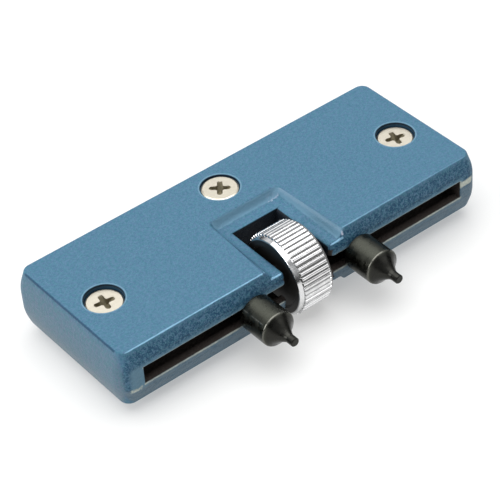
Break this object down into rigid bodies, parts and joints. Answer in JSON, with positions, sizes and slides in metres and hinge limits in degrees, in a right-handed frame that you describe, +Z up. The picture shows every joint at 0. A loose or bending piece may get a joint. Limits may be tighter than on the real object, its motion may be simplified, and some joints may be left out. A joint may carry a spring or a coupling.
{
  "type": "case back opener",
  "caption": "Flat slotted case back opener for watches: a thumb wheel turns a spindle with opposite threads, which moves pin-tipped claws together or apart.",
  "frame": {"origin": "centre of the body's flat underside", "axes": "+X along the body, +Y away from the claws to the back edge, +Z up out of the top face"},
  "size_m": [0.0874, 0.0462, 0.0172],
  "materials": {
    "blue_enamel": "satin, fine metallic grain, worn along its edges",
    "screw_nickel": "nickel plated, warm, satin",
    "dark_steel": "dark oiled steel",
    "wheel_chrome": "bright, turned and knurled",
    "black_oxide_steel": "black oxide, worn on edges"
  },
  "bodies": {
    "body": {"upper_shell": "blue_enamel", "lower_shell": "blue_enamel", "cover_screw_left": "screw_nickel", "cover_screw_middle": "screw_nickel", "cover_screw_right": "screw_nickel"},
    "drive": {"spindle": "dark_steel", "thumb_wheel": "wheel_chrome"},
    "claw_left": {"jaw_left": "black_oxide_steel"},
    "claw_right": {"jaw_right": "black_oxide_steel"}
  },
  "joints": [
    {"name": "wheel_turn", "type": "hinge", "parent": "body", "child": "drive", "pos_m": [0, -0.01206, 0.0065], "axis": [1, 0, 0], "range_deg": [-2160, 11160]},
    {"name": "claw_left_slide", "type": "slide", "parent": "body", "child": "claw_left", "axis": [-1, 0, 0], "range_m": [-0.0043, 0.0218]},
    {"name": "claw_right_slide", "type": "slide", "parent": "body", "child": "claw_right", "axis": [1, 0, 0], "range_m": [-0.0043, 0.0218]}
  ],
  "couplings": [
    {"joint": "claw_left_slide", "follows": "wheel_turn", "m_per_rad": 0.00011141},
    {"joint": "claw_right_slide", "follows": "wheel_turn", "m_per_rad": 0.00011141}
  ]
}
